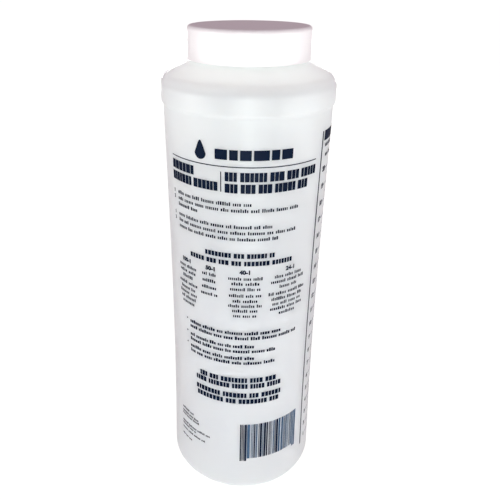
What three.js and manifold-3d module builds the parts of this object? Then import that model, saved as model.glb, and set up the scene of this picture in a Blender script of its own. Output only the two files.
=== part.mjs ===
// Fuel mixing bottle: a blow-moulded bottle with a recessed label panel and a wide threaded neck,
// its screw cap, and the foam sealing disc inside the cap. Millimetres, +Z up, standing on the base
// with the origin at the middle of its underside. The printed panel faces -Y.

import * as THREE from 'three';
import { mergeVertices } from 'three/addons/utils/BufferGeometryUtils.js';
import Module from 'manifold-3d';

const wasm = await Module();
wasm.setup();

// Bottle body
const bodyRadius = 40;
const bandHeight = 6.1;
const panelRecess = 0.9;
const panelHeight = 206.6;
const waistDepth = 0.8;
const waistHeight = 110;
const stepHeight = 2.0;
const shoulderRadius = 6.0;
const shoulderSlope = THREE.MathUtils.degToRad(24);
const heelRadius = 3.5;
const footWidth = 3.0;
const pushUp = 3.5;
const wall = 1.3;

// Bottle neck
const neckRootRadius = 25.1;
const neckWall = 2.0;
const finishHeight = 11.37;
const lipRounding = 0.4;

// Thread, right-handed
const threadPitch = 4.233;
const threadDepth = 1.2;
const threadBaseWidth = 2.2;
const threadCrestWidth = 1.2;
const threadTurns = 1.25;
const threadFade = 0.07;
const threadToLip = 1.9;
const threadSink = 0.4;
const capThreadTurns = 1.0;

// Cap and sealing disc
const capWall = 1.0;
const capTop = 1.6;
const capEdgeRounding = 1.8;
const skirtGap = 1.3;
const linerThickness = 1.2;

// Clearances
const threadClearance = 0.35;
const seatClearance = 0.3;
const linerClearance = 0.5;

// Fineness of the facets
const roundSegments = 60;
const waistSegments = 4;
const arcSegments = 4;
const threadStepsPerTurn = 48;

// Heights and radii that follow from the sizes above
const panelRadius = bodyRadius - panelRecess;
const waistRadius = panelRadius - waistDepth;
const bandBottom = panelHeight + stepHeight;
const bandTop = bandBottom + bandHeight;
const coneStartAngle = Math.PI / 2 - shoulderSlope;
const coneBaseRadius = bodyRadius - shoulderRadius * (1 - Math.cos(coneStartAngle));
const coneBaseHeight = bandTop + shoulderRadius * Math.sin(coneStartAngle);
const neckBase = coneHeightAt(neckRootRadius);
const lipHeight = neckBase + finishHeight;
const threadRadius = neckRootRadius + threadDepth;
const capBore = threadRadius + threadClearance;
const capRadius = capBore + capWall;
const capBottom = coneHeightAt(capBore) + skirtGap;
const linerBottom = lipHeight + seatClearance;
const capUnderside = linerBottom + linerThickness + seatClearance;
const capHeight = capUnderside + capTop;

// Height of the outer shoulder cone at a given radius.
function coneHeightAt(radius) {
  return coneBaseHeight + (coneBaseRadius - radius) * Math.tan(shoulderSlope);
}

// Points along an arc about a centre, from one angle to another, both ends included.
function arcPoints(centreX, centreY, radius, from, to, segments = arcSegments) {
  return Array.from({ length: segments + 1 }, (_, i) => {
    const angle = from + ((to - from) * i) / segments;
    return new THREE.Vector2(centreX + radius * Math.cos(angle), centreY + radius * Math.sin(angle));
  });
}

// Underside dome, from the axis out to the foot, raised by a thickness.
function pushUpPoints(lift) {
  const rim = bodyRadius - heelRadius - footWidth;
  const domeRadius = (rim * rim + pushUp * pushUp) / (2 * pushUp);
  const halfAngle = Math.asin(rim / domeRadius);
  const points = arcPoints(0, pushUp + lift - domeRadius, domeRadius, Math.PI / 2, Math.PI / 2 - halfAngle);
  points[0].x = 0;
  return points;
}

// Panel radius at a height: narrowest at the waist, and wider towards the heel and the step.
function panelRadiusAt(height) {
  const upper = height > waistHeight;
  const end = upper ? panelHeight : heelRadius;
  const endRadius = upper ? panelRadius : bodyRadius;
  return waistRadius + (endRadius - waistRadius) * ((height - waistHeight) / (end - waistHeight)) ** 2;
}

// Side of the body from the foot to the end of the shoulder arc, inset by a thickness.
function sidePoints(inset) {
  const foot = arcPoints(bodyRadius - heelRadius, heelRadius, heelRadius - inset, -Math.PI / 2, 0);
  const panel = [];
  for (let i = 1; i <= 2 * waistSegments; i++) {
    const lower = Math.min(1, i / waistSegments) * (waistHeight - heelRadius);
    const upper = Math.max(0, i / waistSegments - 1) * (panelHeight - waistHeight);
    const height = heelRadius + lower + upper;
    panel.push(new THREE.Vector2(panelRadiusAt(height) - inset, height));
  }
  const step = [0.25, 0.75, 1].map((share) => {
    const rise = share * share * (3 - 2 * share);
    return new THREE.Vector2(panelRadius + panelRecess * rise - inset, panelHeight + stepHeight * share);
  });
  const shoulder = arcPoints(bodyRadius - shoulderRadius, bandTop, shoulderRadius - inset, 0, coneStartAngle);
  return [...foot, ...panel, ...step, ...shoulder];
}

// Closed solid of revolution about Z from a profile of (radius, height) points.
function turned(points) {
  return new THREE.LatheGeometry(points, roundSegments).rotateX(Math.PI / 2);
}

// Helical bead: a trapezoid section that runs up around the axis and fades into the wall at both ends.
// The crest stands out of the wall by the thread depth, outwards for +1 and inwards for -1.
function threadBead(wallRadius, side, midHeight, turns) {
  const section = new THREE.Shape([
    new THREE.Vector2(0, -threadBaseWidth / 2),
    new THREE.Vector2(1, -threadCrestWidth / 2),
    new THREE.Vector2(1, threadCrestWidth / 2),
    new THREE.Vector2(0, threadBaseWidth / 2),
  ]);
  const steps = Math.round(turns * threadStepsPerTurn);
  const bead = new THREE.ExtrudeGeometry(section, { depth: 1, steps, bevelEnabled: false });
  const position = bead.attributes.position;
  for (let i = 0; i < position.count; i++) {
    const along = side > 0 ? 1 - position.getZ(i) : position.getZ(i);
    const fade = Math.min(1, Math.min(along, 1 - along) / threadFade);
    const proud = threadDepth * fade - (threadSink / 2) * (1 - fade);
    const out = position.getX(i) > 0.5 ? proud : -threadSink;
    const radius = wallRadius + side * out;
    const angle = 2 * Math.PI * turns * (along - 0.5);
    const height = midHeight + threadPitch * turns * (along - 0.5) + position.getY(i);
    position.setXYZ(i, radius * Math.cos(angle), radius * Math.sin(angle), height);
  }
  return bead;
}

// Solid made from a closed geometry, with shared corners merged and flat triangles dropped.
function solid(geometry) {
  const bare = geometry.clone().deleteAttribute('normal').deleteAttribute('uv');
  const merged = mergeVertices(bare, 1e-4);
  const index = merged.index.array;
  const corners = [];
  for (let i = 0; i < index.length; i += 3) {
    const [a, b, c] = index.subarray(i, i + 3);
    if (a !== b && b !== c && c !== a) corners.push(a, b, c);
  }
  const mesh = new wasm.Mesh({
    numProp: 3,
    vertProperties: new Float32Array(merged.attributes.position.array),
    triVerts: new Uint32Array(corners),
  });
  return new wasm.Manifold(mesh);
}

// Geometry of a finished solid.
function geometryOf(body) {
  const mesh = body.getMesh();
  const geometry = new THREE.BufferGeometry();
  geometry.setAttribute('position', new THREE.BufferAttribute(mesh.vertProperties, 3));
  geometry.setIndex(new THREE.BufferAttribute(mesh.triVerts, 1));
  geometry.computeVertexNormals();
  return geometry;
}

// Bottle: one blow-moulded wall from the middle of the base to the lip, with the thread on its neck.
const threadRise = threadPitch * threadTurns;
const neckThreadMiddle = lipHeight - threadToLip - threadRise / 2;

function bottleGeometry() {
  const neckBore = neckRootRadius - neckWall;
  const innerCone = coneHeightAt(neckBore) - wall / Math.cos(shoulderSlope);
  const lip = arcPoints(neckRootRadius - lipRounding, lipHeight - lipRounding, lipRounding, 0, Math.PI / 2, 2);
  const profile = [
    ...pushUpPoints(0),
    ...sidePoints(0),
    new THREE.Vector2(neckRootRadius, neckBase),
    ...lip,
    new THREE.Vector2(neckBore, lipHeight),
    new THREE.Vector2(neckBore, innerCone),
    ...sidePoints(wall).reverse(),
    ...pushUpPoints(wall).reverse(),
  ];
  const thread = threadBead(neckRootRadius, 1, neckThreadMiddle, threadTurns);
  return geometryOf(solid(turned(profile)).add(solid(thread)));
}

// Cap: a plain skirt and a flat top in one moulding, with the matching thread inside. Its thread runs
// under the neck's thread, a flank's clearance below it, so that the cap pulls down onto the lip.
function capGeometry() {
  const edge = arcPoints(capRadius - capEdgeRounding, capHeight - capEdgeRounding, capEdgeRounding, 0, Math.PI / 2);
  const profile = [
    new THREE.Vector2(0, capUnderside),
    new THREE.Vector2(capBore, capUnderside),
    new THREE.Vector2(capBore, capBottom),
    new THREE.Vector2(capRadius, capBottom),
    ...edge,
    new THREE.Vector2(0, capHeight),
  ];
  const flankDrop = (threadBaseWidth + threadCrestWidth) / 2 + threadClearance;
  const thread = threadBead(capBore, -1, neckThreadMiddle - flankDrop, capThreadTurns);
  return geometryOf(solid(turned(profile)).add(solid(thread)));
}

// Sealing disc: plain foam, loose in the cap between its top and the lip.
function linerGeometry() {
  const radius = capBore - linerClearance;
  const disc = new THREE.CylinderGeometry(radius, radius, linerThickness, roundSegments);
  return disc.rotateX(Math.PI / 2).translate(0, 0, linerBottom + linerThickness / 2);
}

const milkyPlastic = new THREE.MeshStandardMaterial({ color: 0xe9edf0, roughness: 0.45, metalness: 0 });
const whitePlastic = new THREE.MeshStandardMaterial({ color: 0xf4f3f4, roughness: 0.4, metalness: 0 });
const foam = new THREE.MeshStandardMaterial({ color: 0xe4e2dc, roughness: 0.9, metalness: 0 });

// Named mesh of one piece.
function piece(name, geometry, material) {
  const mesh = new THREE.Mesh(geometry, material);
  mesh.name = name;
  return mesh;
}

const group = new THREE.Group();
const closure = new THREE.Group();
closure.add(piece('cap', capGeometry(), whitePlastic));
closure.add(piece('cap_liner', linerGeometry(), foam));
group.add(piece('bottle', bottleGeometry(), milkyPlastic));
group.add(closure);

export default group;
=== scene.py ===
"""Looks of a fuel mixing bottle: its milky blown wall, white screw cap, sealing disc and navy print."""

import logging
import math
import random
from dataclasses import dataclass, field
from enum import Enum

import bmesh
import bpy
from mathutils import Matrix, Vector


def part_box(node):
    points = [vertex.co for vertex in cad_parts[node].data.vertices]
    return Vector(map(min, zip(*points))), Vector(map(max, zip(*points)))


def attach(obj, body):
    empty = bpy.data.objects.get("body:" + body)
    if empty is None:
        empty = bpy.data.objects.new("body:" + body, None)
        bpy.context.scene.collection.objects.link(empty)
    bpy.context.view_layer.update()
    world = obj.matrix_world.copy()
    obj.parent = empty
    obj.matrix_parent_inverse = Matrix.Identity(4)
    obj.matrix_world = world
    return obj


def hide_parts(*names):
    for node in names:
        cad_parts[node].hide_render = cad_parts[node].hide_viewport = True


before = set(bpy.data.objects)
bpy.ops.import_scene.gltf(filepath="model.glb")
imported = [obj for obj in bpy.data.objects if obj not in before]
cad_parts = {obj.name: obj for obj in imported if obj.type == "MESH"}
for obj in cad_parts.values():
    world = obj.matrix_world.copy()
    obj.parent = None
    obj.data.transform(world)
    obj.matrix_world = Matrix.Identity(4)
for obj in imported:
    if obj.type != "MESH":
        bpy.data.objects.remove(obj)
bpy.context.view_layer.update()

MM = 0.001
PHOTO_PX = 500
SENSOR_MM = 36.0
MERGE_DISTANCE = 1e-7
ON_WALL = MERGE_DISTANCE * 10
SHARP_ANGLE = math.radians(40)
FACES_DOWN = -0.99

log = logging.getLogger("fuel_mixing_bottle")

Point = tuple[float, float]
Triple = tuple[float, float, float]
Colour = tuple[float, float, float, float]


class Align(Enum):
    """Where a row of print is held."""

    LEFT = "left"
    CENTRE = "centre"


class Type(Enum):
    """Plain type sizes of the print: stroke height, stroke width, gap and word space, in millimetres."""

    HEADING = (4.1, 1.85, 0.24, 1.1)
    TITLE = (2.35, 1.25, 0.34, 1.0)
    STRONG = (2.9, 1.35, 0.36, 1.1)
    TEXT = (1.25, 0.62, 0.34, 0.85)
    BOLD_TEXT = (1.45, 0.85, 0.3, 0.85)
    FINE = (0.95, 0.55, 0.25, 0.6)


def arc(centre: Point, radius: float, start: float, end: float, steps: int) -> list[Point]:
    """Points along an arc.

    Args:
        centre: Radius and height of the arc's centre.
        radius: Radius of the arc.
        start: First angle, in degrees from straight out.
        end: Last angle, in degrees.
        steps: Number of steps between the ends.

    Returns:
        Points of radius and height, both ends included.
    """
    points = []
    for i in range(steps + 1):
        angle = math.radians(start + (end - start) * i / steps)
        points.append((centre[0] + radius * math.cos(angle), centre[1] + radius * math.sin(angle)))
    return points


def straight(start: Point, end: Point, steps: int) -> list[Point]:
    """Points along a straight line, both ends included."""
    shares = [i / steps for i in range(steps + 1)]
    return [(start[0] + (end[0] - start[0]) * t, start[1] + (end[1] - start[1]) * t) for t in shares]


def smooth_step(share: float) -> float:
    """Soft rise from 0 to 1."""
    return share * share * (3 - 2 * share)


def turn_profile(profile: list[Point], segments: int) -> bmesh.types.BMesh:
    """Spins a profile about Z into a closed shell.

    Args:
        profile: Points of radius and height in millimetres, from the axis or back to its start.
        segments: Number of steps around.

    Returns:
        The shell, in metres, with its doubles merged and its faces pointing out.
    """
    bm = bmesh.new()
    verts = [bm.verts.new((max(radius, 0.0) * MM, 0.0, height * MM)) for radius, height in profile]
    edges = [bm.edges.new(pair) for pair in zip(verts, verts[1:])]
    bmesh.ops.spin(
        bm,
        geom=verts + edges,
        cent=(0, 0, 0),
        axis=(0, 0, 1),
        dvec=(0, 0, 0),
        angle=math.tau,
        steps=segments,
        use_merge=True,
    )
    bmesh.ops.remove_doubles(bm, verts=bm.verts, dist=MERGE_DISTANCE)
    bmesh.ops.dissolve_degenerate(bm, edges=bm.edges, dist=MERGE_DISTANCE)
    bmesh.ops.recalc_face_normals(bm, faces=bm.faces)
    return bm


def shade_softly(bm: bmesh.types.BMesh) -> None:
    """Shades faces smooth and keeps hard corners sharp."""
    for face in bm.faces:
        face.smooth = True
    for edge in bm.edges:
        if len(edge.link_faces) == 2:
            edge.smooth = edge.calc_face_angle() < SHARP_ANGLE


def make_piece(bm: bmesh.types.BMesh, name: str, material: bpy.types.Material) -> bpy.types.Object:
    """Makes an object of a finished mesh.

    Args:
        bm: The mesh, which is freed.
        name: The piece's name.
        material: The piece's finish.

    Returns:
        The object, at the origin.
    """
    mesh = bpy.data.meshes.new(name)
    bm.to_mesh(mesh)
    bm.free()
    mesh.materials.append(material)
    piece = bpy.data.objects.new(name, mesh)
    bpy.context.scene.collection.objects.link(piece)
    log.info("%s: %d faces", name, len(mesh.polygons))
    return piece


@dataclass(frozen=True)
class ScrewThread:
    """Right-handed helical bead on a round wall, in millimetres and degrees."""

    middle: float
    turns: float
    pitch: float = 4.233
    depth: float = 1.2
    base_width: float = 2.2
    crest_width: float = 1.2
    fade_share: float = 0.07

    def height_at(self, x: float, y: float, z: float) -> float:
        """How far the bead stands out of its wall at a place.

        Args:
            x: Place along X.
            y: Place along Y.
            z: Height, in millimetres.

        Returns:
            The bead's height above the wall, in millimetres.
        """
        around = math.atan2(y, x)
        tallest = 0.0
        half_turns = self.turns * math.pi
        for lap in (-1, 0, 1):
            angle = around + lap * math.tau
            if abs(angle) > half_turns:
                continue
            along = 0.5 + angle / (2 * half_turns)
            fade = smooth_step(min(1.0, min(along, 1 - along) / self.fade_share))
            offset = abs(z - self.middle - self.pitch * angle / math.tau)
            flank = (self.base_width / 2 - offset) / ((self.base_width - self.crest_width) / 2)
            tallest = max(tallest, self.depth * fade * smooth_step(min(1.0, max(0.0, flank))))
        return tallest


@dataclass(frozen=True)
class MouldedSkin:
    """Shader node group for the faint mottle and grain that moulded plastic shows."""

    name: str = "moulded_skin"
    cloud_detail: float = 3.0
    grain_detail: float = 4.0
    grain_mix: float = 0.6
    mottle_from: float = 0.35
    mottle_to: float = 0.65

    def group(self) -> bpy.types.NodeTree:
        """Builds the group at its first use and returns it."""
        found = bpy.data.node_groups.get(self.name)
        if found:
            return found
        tree = bpy.data.node_groups.new(self.name, "ShaderNodeTree")
        face = tree.interface
        for label, kind in (
            ("Tone", "NodeSocketColor"),
            ("Cloud", "NodeSocketColor"),
            ("Roughness", "NodeSocketFloat"),
            ("Roughness Spread", "NodeSocketFloat"),
            ("Cloud Scale", "NodeSocketFloat"),
            ("Grain Scale", "NodeSocketFloat"),
            ("Grain Height", "NodeSocketFloat"),
        ):
            face.new_socket(name=label, in_out="INPUT", socket_type=kind)
        face.new_socket(name="Color", in_out="OUTPUT", socket_type="NodeSocketColor")
        face.new_socket(name="Roughness", in_out="OUTPUT", socket_type="NodeSocketFloat")
        face.new_socket(name="Normal", in_out="OUTPUT", socket_type="NodeSocketVector")
        nodes, links = tree.nodes, tree.links
        given = nodes.new("NodeGroupInput")
        result = nodes.new("NodeGroupOutput")
        place = nodes.new("ShaderNodeTexCoord")
        cloud = nodes.new("ShaderNodeTexNoise")
        cloud.inputs["Detail"].default_value = self.cloud_detail
        grain = nodes.new("ShaderNodeTexNoise")
        grain.inputs["Detail"].default_value = self.grain_detail
        grain.inputs["Roughness"].default_value = self.grain_mix
        for noise, scale in ((cloud, "Cloud Scale"), (grain, "Grain Scale")):
            links.new(place.outputs["Object"], noise.inputs["Vector"])
            links.new(given.outputs[scale], noise.inputs["Scale"])
        mottle = nodes.new("ShaderNodeMapRange")
        mottle.inputs["From Min"].default_value = self.mottle_from
        mottle.inputs["From Max"].default_value = self.mottle_to
        links.new(cloud.outputs["Fac"], mottle.inputs["Value"])
        blend = nodes.new("ShaderNodeMix")
        blend.data_type = "RGBA"
        links.new(mottle.outputs["Result"], blend.inputs["Factor"])
        links.new(given.outputs["Tone"], blend.inputs["A"])
        links.new(given.outputs["Cloud"], blend.inputs["B"])
        links.new(blend.outputs["Result"], result.inputs["Color"])
        spread = nodes.new("ShaderNodeMath")
        spread.operation = "MULTIPLY_ADD"
        links.new(grain.outputs["Fac"], spread.inputs[0])
        links.new(given.outputs["Roughness Spread"], spread.inputs[1])
        links.new(given.outputs["Roughness"], spread.inputs[2])
        links.new(spread.outputs["Value"], result.inputs["Roughness"])
        bump = nodes.new("ShaderNodeBump")
        bump.inputs["Strength"].default_value = 1.0
        links.new(grain.outputs["Fac"], bump.inputs["Height"])
        links.new(given.outputs["Grain Height"], bump.inputs["Distance"])
        links.new(bump.outputs["Normal"], result.inputs["Normal"])
        return tree


@dataclass(frozen=True)
class Plastic:
    """Finish of a moulded plastic: its two tones, gloss, grain and inner scatter."""

    name: str
    tone: Colour
    cloud: Colour
    roughness: float
    roughness_spread: float = 0.08
    cloud_scale: float = 18.0
    grain_scale: float = 900.0
    grain_height: float = 0.00002
    shine: float = 0.5
    scatter: float = 0.0
    scatter_depth: float = 0.004
    scatter_tint: Triple = (1.0, 0.95, 0.9)

    def material(self) -> bpy.types.Material:
        """Builds the material."""
        material = bpy.data.materials.new(self.name)
        material.use_nodes = True
        nodes, links = material.node_tree.nodes, material.node_tree.links
        shader = nodes["Principled BSDF"]
        skin = nodes.new("ShaderNodeGroup")
        skin.node_tree = MouldedSkin().group()
        skin.inputs["Tone"].default_value = self.tone
        skin.inputs["Cloud"].default_value = self.cloud
        skin.inputs["Roughness"].default_value = self.roughness
        skin.inputs["Roughness Spread"].default_value = self.roughness_spread
        skin.inputs["Cloud Scale"].default_value = self.cloud_scale
        skin.inputs["Grain Scale"].default_value = self.grain_scale
        skin.inputs["Grain Height"].default_value = self.grain_height
        links.new(skin.outputs["Color"], shader.inputs["Base Color"])
        links.new(skin.outputs["Roughness"], shader.inputs["Roughness"])
        links.new(skin.outputs["Normal"], shader.inputs["Normal"])
        shader.inputs["Specular IOR Level"].default_value = self.shine
        shader.inputs["Subsurface Weight"].default_value = self.scatter
        shader.inputs["Subsurface Scale"].default_value = self.scatter_depth
        shader.inputs["Subsurface Radius"].default_value = self.scatter_tint
        return material


MILKY_WALL = Plastic(
    name="milky_wall",
    tone=(0.77, 0.80, 0.82, 1.0),
    cloud=(0.80, 0.82, 0.82, 1.0),
    roughness=0.30,
    shine=0.22,
    scatter=1.0,
    scatter_depth=0.010,
)
WHITE_CAP = Plastic(
    name="white_cap",
    tone=(0.955, 0.955, 0.955, 1.0),
    cloud=(0.965, 0.965, 0.965, 1.0),
    roughness=0.34,
    grain_scale=1400.0,
    grain_height=0.00001,
    scatter=0.15,
    scatter_depth=0.002,
)
FOAM_DISC = Plastic(
    name="foam_disc",
    tone=(0.86, 0.85, 0.81, 1.0),
    cloud=(0.80, 0.79, 0.75, 1.0),
    roughness=0.85,
    cloud_scale=300.0,
    grain_scale=2600.0,
    grain_height=0.00012,
)
NAVY_INK = Plastic(
    name="navy_ink",
    tone=(0.001, 0.006, 0.022, 1.0),
    cloud=(0.003, 0.010, 0.030, 1.0),
    roughness=0.45,
    shine=0.04,
    cloud_scale=60.0,
    grain_scale=2000.0,
    grain_height=0.000006,
)
WORN_INK = Plastic(
    name="worn_navy_ink",
    tone=(0.055, 0.105, 0.18, 1.0),
    cloud=(0.035, 0.072, 0.13, 1.0),
    roughness=0.45,
    shine=0.1,
    cloud_scale=220.0,
    grain_scale=2000.0,
    grain_height=0.000006,
)


@dataclass
class BottleWall:
    """Blown wall of the bottle, in millimetres and degrees: its section turned about Z."""

    segments: int = 256
    band_height: float = 6.1
    panel_recess: float = 0.9
    panel_height: float = 206.6
    waist_depth: float = 0.8
    waist_height: float = 110.0
    step_height: float = 2.0
    shoulder_radius: float = 6.0
    shoulder_slope: float = 24.0
    heel_radius: float = 3.5
    foot_width: float = 3.0
    push_up: float = 3.5
    wall: float = 1.3
    neck_root_radius: float = 25.1
    neck_wall: float = 2.0
    lip_rounding: float = 0.4
    neck_fillet: float = 0.8
    thread_to_lip: float = 1.9
    thread_turns: float = 1.25
    thread_row: float = 0.22
    seam_half_width: float = 0.35
    seam_height: float = 0.10
    pinch_height: float = 0.45
    pinch_length: float = 26.0
    pinch_fade: float = 6.0
    fillet_sag: float = 0.12
    dome_steps: int = 20
    heel_steps: int = 5
    panel_steps: int = 14
    step_steps: int = 4
    band_steps: int = 2
    shoulder_steps: int = 5
    cone_steps: int = 8
    lip_steps: int = 4
    outer_fineness: int = 3
    inner_fineness: int = 1
    body_radius: float = field(init=False)
    lip_height: float = field(init=False)

    def __post_init__(self) -> None:
        """Takes the outer radius and the lip's height from the frame."""
        far_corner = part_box("bottle")[1]
        self.body_radius = far_corner[0] / MM
        self.lip_height = far_corner[2] / MM

    @property
    def panel_radius(self) -> float:
        """Radius at the top of the printed panel."""
        return self.body_radius - self.panel_recess

    @property
    def band_top(self) -> float:
        """Height where the shoulder's arc starts."""
        return self.panel_height + self.step_height + self.band_height

    @property
    def shoulder_centre(self) -> Point:
        """Radius and height of the middle of the shoulder's arc."""
        return (self.body_radius - self.shoulder_radius, self.band_top)

    @property
    def cone_start(self) -> Point:
        """Radius and height where the shoulder's arc meets the cone."""
        return arc(self.shoulder_centre, self.shoulder_radius, 0, 90 - self.shoulder_slope, 1)[1]

    @property
    def foot_edge(self) -> float:
        """Radius where the foot turns up into the heel."""
        return self.body_radius - self.heel_radius

    @property
    def dome_rim(self) -> float:
        """Radius where the foot turns up into the dome under the base."""
        return self.foot_edge - self.foot_width

    @property
    def dome_radius(self) -> float:
        """Radius of the ball that the dome is part of."""
        return (self.dome_rim**2 + self.push_up**2) / (2 * self.push_up)

    def cone_height(self, radius: float) -> float:
        """Height of the outer cone at a radius."""
        start = self.cone_start
        return start[1] + (start[0] - radius) * math.tan(math.radians(self.shoulder_slope))

    def panel_radius_at(self, height: float) -> float:
        """Radius of the panel at a height: narrowest at the waist."""
        upper = height > self.waist_height
        end = self.panel_height if upper else self.heel_radius
        end_radius = self.panel_radius if upper else self.body_radius
        waist_radius = self.panel_radius - self.waist_depth
        share = (height - self.waist_height) / (end - self.waist_height)
        return waist_radius + (end_radius - waist_radius) * share * share

    @property
    def thread(self) -> ScrewThread:
        """Thread on the neck."""
        pitch = ScrewThread.pitch
        middle = self.lip_height - self.thread_to_lip - pitch * self.thread_turns / 2
        return ScrewThread(middle=middle, turns=self.thread_turns)

    def underside(self, lift: float) -> list[Point]:
        """Dome under the base, from the axis out to the foot, raised by a thickness."""
        dome = self.dome_radius
        half = math.degrees(math.asin(self.dome_rim / dome))
        points = arc((0.0, self.push_up + lift - dome), dome, 90, 90 - half, self.dome_steps)
        return [(0.0, points[0][1])] + points[1:]

    def side(self, inset: float, fineness: int) -> list[Point]:
        """Side from the foot to the end of the shoulder's arc.

        Args:
            inset: Distance in from the outer face.
            fineness: How many times finer than the coarsest sampling.

        Returns:
            Points from the foot up.
        """
        heel_centre = (self.foot_edge, self.heel_radius)
        points = arc(heel_centre, self.heel_radius - inset, -90, 0, self.heel_steps * fineness)
        panel_top = (0, self.panel_height)
        heights = straight((0, self.heel_radius), panel_top, self.panel_steps * fineness)[1:]
        points += [(self.panel_radius_at(height) - inset, height) for _, height in heights]
        steps = self.step_steps * fineness
        for i in range(1, steps + 1):
            share = i / steps
            radius = self.panel_radius + self.panel_recess * smooth_step(share) - inset
            points.append((radius, self.panel_height + self.step_height * share))
        band_end = (self.body_radius - inset, self.band_top)
        points += straight(points[-1], band_end, self.band_steps * fineness)[1:-1]
        radius, end = self.shoulder_radius - inset, 90 - self.shoulder_slope
        return points + arc(self.shoulder_centre, radius, 0, end, self.shoulder_steps * fineness)

    def section(self) -> list[Point]:
        """Whole section, from the middle of the underside over the lip to the middle of the floor."""
        root, rounding = self.neck_root_radius, self.lip_rounding
        bore = root - self.neck_wall
        fillet_low = (root + self.neck_fillet, self.cone_height(root + self.neck_fillet))
        fillet_high = (root, self.cone_height(root) + self.neck_fillet)
        rows = round((self.lip_height - rounding - fillet_high[1]) / self.thread_row)
        slope = math.radians(self.shoulder_slope)
        inner_cone = self.cone_height(bore) - self.wall / math.cos(slope)
        points = self.underside(0.0)
        points += self.side(0.0, self.outer_fineness)
        points += straight(points[-1], fillet_low, self.cone_steps)[1:]
        fillet_height = (fillet_low[1] + fillet_high[1]) / 2 - self.fillet_sag
        points += [((fillet_low[0] + 2 * root) / 3, fillet_height)]
        points += straight(fillet_high, (root, self.lip_height - rounding), rows)
        points += arc((root - rounding, self.lip_height - rounding), rounding, 0, 90, self.lip_steps)[1:]
        points += arc((bore + rounding, self.lip_height - rounding), rounding, 90, 180, self.lip_steps)
        points += [(bore, inner_cone)]
        points += self.side(self.wall, self.inner_fineness)[::-1]
        return points + self.underside(self.wall)[::-1]

    def cut_thread(self, bm: bmesh.types.BMesh) -> None:
        """Raises the thread on the outside of the neck."""
        thread = self.thread
        root = self.neck_root_radius * MM
        low = self.cone_height(self.neck_root_radius) * MM
        for vert in bm.verts:
            radius = vert.co.xy.length
            if abs(radius - root) < ON_WALL and vert.co.z > low:
                out = thread.height_at(vert.co.x, vert.co.y, vert.co.z / MM) * MM
                vert.co.xy = vert.co.xy * ((radius + out) / radius)

    def raise_seams(self, bm: bmesh.types.BMesh) -> None:
        """Leaves the mould's parting line on both sides and the pinch-off across the base."""
        half = self.seam_half_width * MM
        for offset in (-half, half):
            bmesh.ops.bisect_plane(
                bm,
                geom=list(bm.verts) + list(bm.edges) + list(bm.faces),
                plane_co=(0, offset, 0),
                plane_no=(0, 1, 0),
                dist=MERGE_DISTANCE,
            )
        outer = self.outer_radius_at
        tip = self.push_up * MM
        for vert in bm.verts:
            if abs(vert.co.y) > half / 2:
                continue
            across, height = abs(vert.co.x), vert.co.z
            on_side = self.foot_edge * MM < across and abs(across - outer(height)) < self.wall * MM / 3
            on_base = height <= tip and across < self.pinch_length * MM
            if on_side and height < self.cone_height(self.neck_root_radius) * MM:
                proud = min(across + self.seam_height * MM, self.body_radius * MM)
                vert.co.x *= proud / across
            elif on_base and height <= self.dome_height(across) + self.wall * MM / 3:
                fade = min(1.0, (self.pinch_length * MM - across) / (self.pinch_fade * MM))
                vert.co.z -= self.pinch_height * MM * smooth_step(max(0.0, fade))

    def dome_height(self, radius: float) -> float:
        """Height of the underside at a radius, both in metres."""
        dome = self.dome_radius
        return (self.push_up - dome + math.sqrt(max(0.0, dome**2 - (radius / MM) ** 2))) * MM

    def outer_radius_at(self, height: float) -> float:
        """Radius of the outer side at a height below the cone's end, both in metres."""
        level = height / MM
        if level < self.heel_radius:
            drop = self.heel_radius - level
            return (self.foot_edge + math.sqrt(max(0.0, self.heel_radius**2 - drop**2))) * MM
        if level <= self.panel_height:
            return self.panel_radius_at(level) * MM
        if level <= self.panel_height + self.step_height:
            share = (level - self.panel_height) / self.step_height
            return (self.panel_radius + self.panel_recess * smooth_step(share)) * MM
        if level <= self.band_top:
            return self.body_radius * MM
        start = self.cone_start
        if level <= start[1]:
            rise = level - self.band_top
            return (self.shoulder_centre[0] + math.sqrt(max(0.0, self.shoulder_radius**2 - rise**2))) * MM
        return (start[0] - (level - start[1]) / math.tan(math.radians(self.shoulder_slope))) * MM

    def build(self) -> None:
        """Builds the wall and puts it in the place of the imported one."""
        bm = turn_profile(self.section(), self.segments)
        self.cut_thread(bm)
        self.raise_seams(bm)
        shade_softly(bm)
        piece = make_piece(bm, "bottle_wall", MILKY_WALL.material())
        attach(piece, "bottle")
        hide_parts("bottle")


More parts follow.
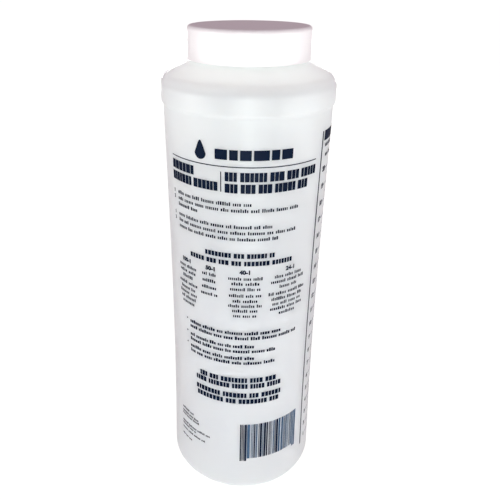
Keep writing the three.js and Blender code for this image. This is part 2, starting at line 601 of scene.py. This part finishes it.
@dataclass
class ScrewCap:
    """White cap: a plain skirt and flat top with a thread inside, in millimetres."""

    neck: BottleWall
    segments: int = 256
    wall: float = 1.0
    top: float = 1.6
    edge_rounding: float = 1.8
    rim_rounding: float = 0.3
    corner_rounding: float = 0.5
    corner_flat: float = 0.6
    gate_radius: float = 1.1
    gate_depth: float = 0.15
    gate_form: tuple[Point, ...] = ((1.15, 0.0), (1.0, 0.3), (0.75, 1.0), (0.0, 1.0))
    flat_steps: int = 2
    rounding_steps: int = 3
    skirt_steps: int = 4
    edge_steps: int = 10
    top_steps: int = 6
    thread_turns: float = 1.0
    flank_clearance: float = 0.35
    thread_row: float = 0.24

    def section(self) -> list[Point]:
        """Section from the middle of the underside, down the bore, up the skirt and over the top."""
        low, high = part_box("cap")
        radius, bottom, height = high[0] / MM, low[2] / MM, high[2] / MM
        bore, under = radius - self.wall, height - self.top
        rows = round((under - bottom) / self.thread_row)
        rim, edge, corner = self.rim_rounding, self.edge_rounding, self.corner_rounding
        steps = self.rounding_steps
        points = [(0.0, under)]
        points += straight((bore / 2, under), (bore - self.corner_flat, under), self.flat_steps)
        points += arc((bore - corner, under - corner), corner, 90, 0, steps)
        points += straight((bore, under - corner), (bore, bottom + rim), rows)[1:]
        points += arc((bore + rim, bottom + rim), rim, 180, 270, steps)[1:]
        points += arc((radius - rim, bottom + rim), rim, -90, 0, steps)
        points += straight((radius, bottom + rim), (radius, height - edge), self.skirt_steps)[1:-1]
        points += arc((radius - edge, height - edge), edge, 0, 90, self.edge_steps)
        points += straight(points[-1], (self.gate_radius * 2, height), self.top_steps)[1:]
        form = self.gate_form
        return points + [(self.gate_radius * out, height - self.gate_depth * sink) for out, sink in form]

    def cut_thread(self, bm: bmesh.types.BMesh) -> None:
        """Raises the thread on the inside of the skirt, just under the neck's."""
        neck = self.neck.thread
        drop = (neck.base_width + neck.crest_width) / 2 + self.flank_clearance
        thread = ScrewThread(middle=neck.middle - drop, turns=self.thread_turns)
        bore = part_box("cap")[1][0] - self.wall * MM
        for vert in bm.verts:
            radius = vert.co.xy.length
            if abs(radius - bore) < ON_WALL:
                inwards = thread.height_at(vert.co.x, vert.co.y, vert.co.z / MM) * MM
                vert.co.xy = vert.co.xy * ((radius - inwards) / radius)

    def build(self) -> None:
        """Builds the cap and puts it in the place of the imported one."""
        bm = turn_profile(self.section(), self.segments)
        self.cut_thread(bm)
        shade_softly(bm)
        piece = make_piece(bm, "screw_cap", WHITE_CAP.material())
        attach(piece, "cap")
        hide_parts("cap")


@dataclass
class SealingDisc:
    """Foam disc inside the cap, with a softly rounded rim and the lip's pressed ring."""

    neck: BottleWall
    segments: int = 160
    rim_rounding: float = 0.35
    rim_steps: int = 3
    pressed_depth: float = 0.12

    def build(self) -> None:
        """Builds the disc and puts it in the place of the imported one."""
        low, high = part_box("cap_liner")
        bm = bmesh.new()
        middle = Matrix.Translation((0, 0, (low[2] + high[2]) / 2))
        bmesh.ops.create_cone(
            bm,
            cap_ends=True,
            segments=self.segments,
            radius1=high[0],
            radius2=high[0],
            depth=high[2] - low[2],
            matrix=middle,
        )
        rims = [edge for edge in bm.edges if abs(edge.verts[0].co.z - edge.verts[1].co.z) < MERGE_DISTANCE]
        bmesh.ops.bevel(
            bm,
            geom=rims,
            offset=self.rim_rounding * MM,
            segments=self.rim_steps,
            profile=0.5,
            affect="EDGES",
            material=-1,
        )
        underside = [face for face in bm.faces if face.normal.z < FACES_DOWN]
        ring_outer = self.neck.neck_root_radius * MM
        inset = high[0] - self.rim_rounding * MM - ring_outer
        bmesh.ops.inset_region(bm, faces=underside, thickness=inset)
        pressed = bmesh.ops.inset_region(bm, faces=underside, thickness=self.neck.neck_wall * MM)
        bmesh.ops.translate(
            bm,
            vec=(0, 0, self.pressed_depth * MM),
            verts=list({vert for face in pressed["faces"] for vert in face.verts}),
        )
        bmesh.ops.recalc_face_normals(bm, faces=bm.faces)
        shade_softly(bm)
        piece = make_piece(bm, "sealing_disc", FOAM_DISC.material())
        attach(piece, "liner")
        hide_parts("cap_liner")


@dataclass
class InkSheet:
    """A layer of ink laid out flat, in millimetres across and up, then wrapped on the panel."""

    name: str
    wall: BottleWall
    finish: Plastic
    seed: int
    flat_radius: float = 38.6
    lift: float = 0.04
    thickness: float = 0.03
    grid: float = 1.5
    join_distance: float = 0.004
    disc_segments: int = 16
    drop_segments: int = 40
    drop_roundness: float = 0.33
    drop_sharpness: float = 2.2
    drop_narrowing: float = 0.35
    stroke_spread: tuple[float, float] = (0.75, 1.25)
    stroke_rises: tuple[float, ...] = (0, 0, 0.35, 0)
    strokes_in_word: tuple[int, int] = (3, 8)
    digit_share: float = 0.7
    digit_boldness: float = 0.08
    digit_steps: int = 3

    def __post_init__(self) -> None:
        """Starts an empty sheet with its own seeded draws."""
        self.bm = bmesh.new()
        self.random = random.Random(self.seed)

    def block(self, left: float, low: float, right: float, high: float) -> None:
        """Lays one plain rectangle, cut fine enough to bend."""
        across = max(1, math.ceil((right - left) / self.grid))
        up = max(1, math.ceil((high - low) / (self.grid * 4)))
        centre = Matrix.Translation(((left + right) / 2, (low + high) / 2, 0))
        size = Matrix.Diagonal((right - left, high - low, 1, 1))
        bmesh.ops.create_grid(self.bm, x_segments=across, y_segments=up, size=0.5, matrix=centre @ size)

    def disc(self, across: float, up: float, radius: float) -> None:
        """Lays one plain dot."""
        self.lay_circle(across, up, radius, self.disc_segments)

    def lay_circle(self, across: float, up: float, radius: float, segments: int) -> list[bmesh.types.BMVert]:
        """Lays a filled circle and returns its rim."""
        centre = Matrix.Translation((across, up, 0))
        made = bmesh.ops.create_circle(
            self.bm, cap_ends=True, segments=segments, radius=radius, matrix=centre
        )
        return made["verts"]

    def drop(self, across: float, low: float, height: float) -> None:
        """Lays a plain drop: a round foot that runs up to a point."""
        radius = height * self.drop_roundness
        middle = low + radius
        for vert in self.lay_circle(across, middle, radius, self.drop_segments):
            rise = (vert.co.y - middle) / radius
            if rise > 0:
                pull = rise**self.drop_sharpness
                vert.co.y = middle + rise * radius + pull * (height - 2 * radius)
                vert.co.x = across + (vert.co.x - across) * (1 - self.drop_narrowing * rise)

    def words(self, left: float, right: float, middle: float, kind: Type, align: Align = Align.LEFT) -> None:
        """Lays a row of plain strokes in groups, in the place of a row of type.

        Args:
            left: Left end of the row, or its middle where it is centred.
            right: Right end of the row, or its width where it is centred.
            middle: Height of the middle of the strokes.
            kind: Size of the strokes.
            align: Where the row is held.
        """
        height, stroke, gap, space = kind.value
        start, end = (left, right) if align is Align.LEFT else (left - right / 2, left + right / 2)
        small = kind in (Type.TEXT, Type.BOLD_TEXT, Type.FINE)
        strokes = []
        place = 0.0
        left_in_word = self.random.randint(*self.strokes_in_word)
        while place < end - start:
            width = stroke * self.random.uniform(*self.stroke_spread)
            rise = self.random.choice(self.stroke_rises) * height if small else 0.0
            strokes.append((place, place + width, rise))
            place += width + gap
            left_in_word -= 1
            if left_in_word == 0:
                place += space
                left_in_word = self.random.randint(*self.strokes_in_word)
        last_stands_alone = len(strokes) > 2 and strokes[-1][0] - strokes[-2][1] > gap + space / 2
        if last_stands_alone:
            strokes.pop()
        fit = (end - start) / strokes[-1][1]
        for near, far, rise in strokes:
            top = middle + height / 2 + rise
            self.block(start + near * fit, middle - height / 2, start + far * fit, top)

    def number(self, text: str, across: float, middle: float, height: float) -> None:
        """Lays a plain number, centred on a place.

        Args:
            text: Digits, with a hyphen between the two sides of a ratio.
            across: Place of its middle across the panel.
            middle: Height of its middle.
            height: Height of its digits.
        """
        curve = bpy.data.curves.new("digits", "FONT")
        curve.body = text
        curve.align_x = "CENTER"
        curve.align_y = "CENTER"
        curve.size = height / self.digit_share
        curve.offset = height * self.digit_boldness
        curve.resolution_u = self.digit_steps
        holder = bpy.data.objects.new("digits", curve)
        bpy.context.scene.collection.objects.link(holder)
        bpy.context.view_layer.update()
        mesh = bpy.data.meshes.new_from_object(holder)
        mesh.transform(Matrix.Translation((across, middle, 0)))
        self.bm.from_mesh(mesh)
        bpy.data.objects.remove(holder)
        bpy.data.curves.remove(curve)
        bpy.data.meshes.remove(mesh)

    def wrap(self) -> None:
        """Wraps the sheet round the panel as a thin film of ink."""
        bmesh.ops.remove_doubles(self.bm, verts=self.bm.verts, dist=self.join_distance)
        for face in self.bm.faces:
            face.normal_update()
            if face.normal.z < 0:
                face.normal_flip()
        for vert in self.bm.verts:
            angle = vert.co.x / self.flat_radius
            height = vert.co.y
            radius = (self.wall.panel_radius_at(height) + self.lift) * MM
            vert.co = Vector((radius * math.sin(angle), -radius * math.cos(angle), height * MM))
        piece = make_piece(self.bm, self.name, self.finish.material())
        film = piece.modifiers.new("film", "SOLIDIFY")
        film.thickness = self.thickness * MM
        film.offset = -1.0
        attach(piece, "bottle")


@dataclass
class PanelPrint:
    """Print on the front of the panel: places are millimetres across from the front and up."""

    wall: BottleWall
    drop_across: float = -20.6
    drop_low: float = 188.9
    drop_height: float = 8.4
    mark_left: float = -13.6
    mark_low: float = 190.0
    mark_high: float = 194.4
    mark_gap: float = 0.9
    mark_widths: tuple[float, ...] = (5.4, 3.6, 4.8, 6.6, 3.6, 5.2)
    rule_width: float = 0.45
    rule_height: float = 186.8
    left_edge: float = -39.5
    right_edge: float = 34.4
    divider: float = -11.2
    divider_low: float = 175.7
    divider_high: float = 184.7
    note_left: float = -35.6
    digit_across: float = -38.9
    digit_height: float = 1.5
    ratio_row: float = 136.9
    ratio_height: float = 2.0
    ratio_middles: tuple[float, ...] = (-31.0, -16.3, 0.4, 22.7)
    ratios: tuple[str, ...] = ("100-1", "50-1", "40-1", "24-1")
    column_middles: tuple[float, ...] = (-30.6, -17.3, 0.5, 22.0)
    close_rows: tuple[float, ...] = (133.4, 130.7, 127.8, 124.3, 121.4, 118.7, 116.0, 113.2)
    spaced_rows: tuple[float, ...] = (133.6, 130.1, 126.5, 122.9)
    footnote_left: float = -29.4
    star_across: float = -31.8
    star_radius: float = 0.42
    fine_left: float = -38.0

    def heading(self) -> None:
        """Top of the panel: a plain mark, a long rule, and two headings beside each other."""
        sheet = InkSheet("print_heading", self.wall, NAVY_INK, seed=11)
        sheet.drop(self.drop_across, self.drop_low, self.drop_height)
        place = self.mark_left
        for width in self.mark_widths:
            sheet.block(place, self.mark_low, place + width, self.mark_high)
            place += width + self.mark_gap
        sheet.block(self.left_edge, self.rule_height, self.right_edge, self.rule_height + self.rule_width)
        sheet.block(self.divider, self.divider_low, self.divider + self.rule_width, self.divider_high)
        rows: tuple[Triple, ...] = (
            (self.left_edge, -24.4, 183.1),
            (self.left_edge, -12.5, 177.8),
            (-9.2, self.right_edge, 182.7),
            (-9.2, 29.3, 177.5),
        )
        for left, right, middle in rows:
            sheet.words(left, right, middle, Type.HEADING)
        sheet.wrap()

    def notes(self) -> None:
        """Two blocks of small rows under the headings, each numbered at the left."""
        sheet = InkSheet("print_notes", self.wall, NAVY_INK, seed=23)
        rows = ((170.1, 2.4), (167.2, 24.6), (164.3, -23.0), (159.4, 12.0), (156.5, 23.9), (153.5, 15.0))
        for middle, end in rows:
            sheet.words(self.note_left, end, middle, Type.TEXT)
        for middle, digit in ((170.1, "1"), (167.2, "2"), (159.4, "1"), (156.5, "2")):
            sheet.number(digit, self.digit_across, middle, self.digit_height)
        sheet.wrap()

    def ratio_table(self) -> None:
        """Two centred titles over four columns, each headed by its plain mixing ratio."""
        sheet = InkSheet("print_ratio_table", self.wall, NAVY_INK, seed=37)
        for across, width, middle in ((-2.6, 32.8, 145.3), (-2.4, 50.8, 141.5)):
            sheet.words(across, width, middle, Type.TITLE, Align.CENTRE)
        for ratio, across in zip(self.ratios, self.ratio_middles):
            sheet.number(ratio, across, self.ratio_row, self.ratio_height)
        widths = (
            (12.0, 11.0, 7.0, 13.0, 10.0, 12.0, 10.5, 8.5),
            (7.2, 6.8, 7.6, 8.8),
            (16.0, 13.0, 14.2, 15.2, 11.6, 16.0, 12.0, 11.0),
            (15.0, 18.6, 9.6, 20.6, 17.4, 16.2, 18.4, 9.0),
        )
        for across, column in zip(self.column_middles, widths):
            spaced = len(column) == len(self.spaced_rows)
            heights = self.spaced_rows if spaced else self.close_rows
            for width, middle in zip(column, heights):
                sheet.words(across, width, middle, Type.TEXT, Align.CENTRE)
        sheet.wrap()

    def footnotes(self) -> None:
        """Six starred rows, then four strong centred rows."""
        sheet = InkSheet("print_footnotes", self.wall, NAVY_INK, seed=41)
        rows = ((103.2, 18.9), (100.3, 28.3), (95.5, 5.4), (92.6, 16.4), (88.5, 5.6), (85.6, 16.4))
        for middle, end in rows:
            sheet.words(self.footnote_left, end, middle, Type.BOLD_TEXT)
        for middle in (103.8, 96.5, 89.6):
            sheet.disc(self.star_across, middle, self.star_radius)
        strong_rows = ((75.0, -2.7, 40.6), (71.3, -2.5, 46.0), (65.4, -2.4, 46.2), (61.5, -2.6, 44.4))
        for middle, across, width in strong_rows:
            sheet.words(across, width, middle, Type.STRONG, Align.CENTRE)
        sheet.wrap()

    def fine_print(self) -> None:
        """Seven fine rows low at the left."""
        sheet = InkSheet("print_fine_rows", self.wall, NAVY_INK, seed=53)
        middles = (42.4, 40.0, 38.0, 32.9, 30.9, 28.0, 23.3)
        ends = (-28.4, -24.8, -24.4, -17.3, -26.6, -20.3, -29.7)
        for middle, end in zip(middles, ends):
            sheet.words(self.fine_left, end, middle, Type.FINE)
        sheet.wrap()

    def build(self) -> None:
        """Prints every part of the front."""
        self.heading()
        self.notes()
        self.ratio_table()
        self.footnotes()
        self.fine_print()


@dataclass
class StripeField:
    """Field of plain upright stripes of mixed widths, low at the right, in millimetres."""

    wall: BottleWall
    unit: float = 0.36
    left: float = -0.6
    right: float = 32.8
    low: float = 22.6
    high: float = 46.2
    long_end: float = 3.0
    long_drop: float = 1.9
    widths: tuple[int, ...] = (1, 1, 2, 2, 3, 4)
    gaps: tuple[float, ...] = (0.8, 1, 1, 2)
    seed: int = 71

    def build(self) -> None:
        """Prints the stripes in fresh and in worn ink."""
        sheets = (
            InkSheet("print_stripes", self.wall, NAVY_INK, seed=61),
            InkSheet("print_stripes_worn", self.wall, WORN_INK, seed=67),
        )
        draws = random.Random(self.seed)
        place = self.left
        while place < self.right - self.unit:
            width = self.unit * draws.choice(self.widths)
            is_long = place < self.long_end or place > self.right - self.long_end
            foot = self.low - self.long_drop if is_long else self.low
            sheet = sheets[draws.choice((0, 1))]
            sheet.block(place, foot, min(place + width, self.right), self.high)
            place += width + self.unit * draws.choice(self.gaps)
        for sheet in sheets:
            sheet.wrap()


@dataclass
class MixingScale:
    """Graduated scale round the right side and the back, in millimetres across from the front and up.

    Each column has a left end, a right end and a number of steps.
    """

    wall: BottleWall
    columns: tuple[tuple[float, float, int], ...] = (
        (40.0, 59.0, 19),
        (62.3, 80.6, 12),
        (81.8, 100.1, 9),
        (101.3, 119.6, 7),
    )
    top: float = 198.3
    bottom: float = 15.5
    first_mark: float = 19.2
    last_mark: float = 179.9
    edge_gap: float = 0.2
    edge_reach: float = 1.1
    last_edge_reach: float = 0.75
    header_low: float = 193.6
    header_start: float = 1.0
    header_end: float = 0.4
    unit_rows: tuple[Triple, ...] = ((2.6, 2.4, 191.3), (3.8, 4.2, 186.6))
    number_across: float = 3.8
    number_height: float = 2.3
    tick: Triple = (5.8, 1.0, 0.17)
    half_tick: Triple = (9.8, 4.0, 0.1)

    def build(self) -> None:
        """Prints the columns with their edges, headers and numbers, and the ticks in worn ink."""
        sheet = InkSheet("print_mixing_scale", self.wall, NAVY_INK, seed=79)
        lines = InkSheet("print_scale_lines", self.wall, WORN_INK, seed=83)
        for left, right, steps in self.columns:
            sheet.block(left - self.edge_reach, self.bottom, left - self.edge_gap, self.top)
            sheet.block(left + self.header_start, self.header_low, right - self.header_end, self.top)
            for start, end, middle in self.unit_rows:
                sheet.words(left + start, right - end, middle, Type.BOLD_TEXT)
            spacing = (self.last_mark - self.first_mark) / steps
            for i in range(steps + 1):
                mark = self.first_mark + spacing * i
                sheet.number(str(i + 1), left + self.number_across, mark, self.number_height)
                self.lay_tick(lines, left, right, mark, self.tick)
                if i < steps:
                    self.lay_tick(lines, left, right, mark + spacing / 2, self.half_tick)
        end = self.columns[-1][1]
        sheet.block(end + self.edge_gap, self.bottom, end + self.last_edge_reach, self.top)
        sheet.wrap()
        lines.wrap()

    @staticmethod
    def lay_tick(lines: InkSheet, left: float, right: float, mark: float, form: Triple) -> None:
        """Lays one tick of a column.

        Args:
            lines: Sheet that takes the tick.
            left: Left end of the column.
            right: Right end of the column.
            mark: Height of the tick's middle.
            form: Distances in from the column's two ends, and half the tick's thickness.
        """
        start, end, half = form
        lines.block(left + start, mark - half, right - end, mark + half)


@dataclass(frozen=True)
class PhotoCamera:
    """Camera at the photograph's place, in millimetres, degrees and photograph pixels."""

    distance: float = 255.0
    height: float = 258.8
    pitch: float = 25.03
    yaw: float = 1.80
    roll: float = 0.42
    focal_px: float = 545.0
    axis_px: Point = (229.8, 231.4)
    near_end: float = 10.0

    def build(self) -> None:
        """Makes the camera and makes it the scene's own."""
        data = bpy.data.cameras.new("photo_camera")
        data.sensor_width = SENSOR_MM
        data.lens = SENSOR_MM * self.focal_px / PHOTO_PX
        data.shift_x = (PHOTO_PX / 2 - self.axis_px[0]) / PHOTO_PX
        data.shift_y = (self.axis_px[1] - PHOTO_PX / 2) / PHOTO_PX
        data.clip_start = self.near_end * MM
        camera = bpy.data.objects.new("photo_camera", data)
        bpy.context.scene.collection.objects.link(camera)
        turn = Matrix.Rotation(math.radians(self.yaw), 4, "Z")
        tilt = Matrix.Rotation(math.radians(90 - self.pitch), 4, "X")
        roll = Matrix.Rotation(math.radians(self.roll), 4, "Z")
        place = Matrix.Translation((0, -self.distance * MM, self.height * MM))
        camera.matrix_world = place @ turn @ tilt @ roll
        bpy.context.scene.camera = camera


@dataclass(frozen=True)
class SoftLamp:
    """Oval area lamp turned to its aim, in metres, watts and degrees. It can feed the highlights alone."""

    name: str
    place: Triple
    width: float
    tall: float
    power: float
    colour: Triple
    aim: Triple = (0.0, 0.0, 0.12)
    spread: float = 180.0
    highlight_only: bool = False

    def build(self) -> None:
        """Makes the lamp."""
        data = bpy.data.lights.new(self.name, "AREA")
        data.shape = "ELLIPSE"
        data.spread = math.radians(self.spread)
        data.size = self.width
        data.size_y = self.tall
        data.energy = self.power
        data.color = self.colour
        lamp = bpy.data.objects.new(self.name, data)
        lamp.visible_diffuse = not self.highlight_only
        bpy.context.scene.collection.objects.link(lamp)
        ray = Vector(self.aim) - Vector(self.place)
        turn = ray.to_track_quat("-Z", "Y").to_matrix().to_4x4()
        lamp.matrix_world = Matrix.Translation(self.place) @ turn


@dataclass(frozen=True)
class Studio:
    """Plain pale floor, soft lamps and an even sky that the camera sees as white."""

    floor_half_size: float = 30.0
    sky: Triple = (0.42, 0.33, 0.37)
    floor_colour: Colour = (0.92, 0.96, 0.90, 1.0)
    floor_glow: float = 1.2
    floor_shadow_share: float = 0.2
    lamps: tuple[SoftLamp, ...] = (
        SoftLamp(
            "front_fill",
            place=(0.02, -0.34, 0.04),
            width=0.20,
            tall=0.06,
            power=0.26,
            colour=(0.95, 1.0, 0.99),
            aim=(0, 0, 0.085),
            spread=110,
        ),
        SoftLamp(
            "flash",
            place=(0.04, -1.04, 0.335),
            width=0.08,
            tall=0.08,
            power=0.7,
            colour=(0.93, 1.0, 1.0),
        ),
        SoftLamp(
            "spark",
            place=(0.01, -0.75, 0.155),
            width=0.22,
            tall=0.05,
            power=3.4,
            colour=(0.9, 1.0, 0.96),
            aim=(0, 0, 0.21),
            highlight_only=True,
        ),
        SoftLamp(
            "left_fill",
            place=(-1.15, -0.45, 0.07),
            width=1.00,
            tall=0.13,
            power=7.6,
            colour=(0.98, 1.0, 0.98),
        ),
        SoftLamp(
            "right_fill",
            place=(1.15, -0.45, 0.07),
            width=1.00,
            tall=0.13,
            power=7.2,
            colour=(0.98, 1.0, 0.99),
        ),
        SoftLamp(
            "back_fill",
            place=(0.0, 1.30, 0.12),
            width=1.00,
            tall=0.20,
            power=9.0,
            colour=(1.0, 1.0, 1.0),
        ),
        SoftLamp(
            "inner_glow",
            place=(0, 0, 0.215),
            width=0.074,
            tall=0.074,
            power=0.0170,
            colour=(0.94, 1.0, 0.97),
            aim=(0, 0, 0.3),
            spread=130,
        ),
    )

    def build_sky(self) -> None:
        """Makes the world: an even tint on the object, white to the camera."""
        world = bpy.data.worlds.new("studio_sky")
        bpy.context.scene.world = world
        world.use_nodes = True
        nodes, links = world.node_tree.nodes, world.node_tree.links
        nodes.clear()
        even, white = nodes.new("ShaderNodeBackground"), nodes.new("ShaderNodeBackground")
        even.inputs["Color"].default_value = (*self.sky, 1.0)
        white.inputs["Color"].default_value = (1.0, 1.0, 1.0, 1.0)
        path, mix = nodes.new("ShaderNodeLightPath"), nodes.new("ShaderNodeMixShader")
        out = nodes.new("ShaderNodeOutputWorld")
        links.new(path.outputs["Is Camera Ray"], mix.inputs["Fac"])
        links.new(even.outputs["Background"], mix.inputs[1])
        links.new(white.outputs["Background"], mix.inputs[2])
        links.new(mix.outputs["Shader"], out.inputs["Surface"])

    def floor_material(self) -> bpy.types.Material:
        """White to the camera with a faint shadow, and pale to the light that bounces off it."""
        material = bpy.data.materials.new("pale_floor")
        material.use_nodes = True
        nodes, links = material.node_tree.nodes, material.node_tree.links
        nodes.clear()
        matte, glow = nodes.new("ShaderNodeBsdfDiffuse"), nodes.new("ShaderNodeEmission")
        matte.inputs["Color"].default_value = self.floor_colour
        seen, path = nodes.new("ShaderNodeMath"), nodes.new("ShaderNodeLightPath")
        seen.operation = "MULTIPLY"
        seen.inputs[1].default_value = 1.0 - self.floor_shadow_share
        glow.inputs["Strength"].default_value = self.floor_glow
        mix, out = nodes.new("ShaderNodeMixShader"), nodes.new("ShaderNodeOutputMaterial")
        links.new(path.outputs["Is Camera Ray"], seen.inputs[0])
        links.new(seen.outputs["Value"], mix.inputs["Fac"])
        links.new(matte.outputs["BSDF"], mix.inputs[1])
        links.new(glow.outputs["Emission"], mix.inputs[2])
        links.new(mix.outputs["Shader"], out.inputs["Surface"])
        return material

    def build(self) -> None:
        """Makes the floor, the sky and the lamps."""
        bm = bmesh.new()
        bmesh.ops.create_grid(bm, x_segments=1, y_segments=1, size=self.floor_half_size)
        floor = make_piece(bm, "floor", self.floor_material())
        self.build_sky()
        for lamp in self.lamps:
            lamp.build()


def main() -> None:
    """Builds the camera, the studio, the pieces and their print, in order."""
    logging.basicConfig(level=logging.INFO, format="%(name)s: %(message)s")
    bpy.context.scene.view_settings.view_transform = "Standard"
    PhotoCamera().build()
    Studio().build()
    wall = BottleWall()
    wall.build()
    ScrewCap(neck=wall).build()
    SealingDisc(neck=wall).build()
    PanelPrint(wall=wall).build()
    StripeField(wall=wall).build()
    MixingScale(wall=wall).build()


if __name__ == "__main__":
    main()
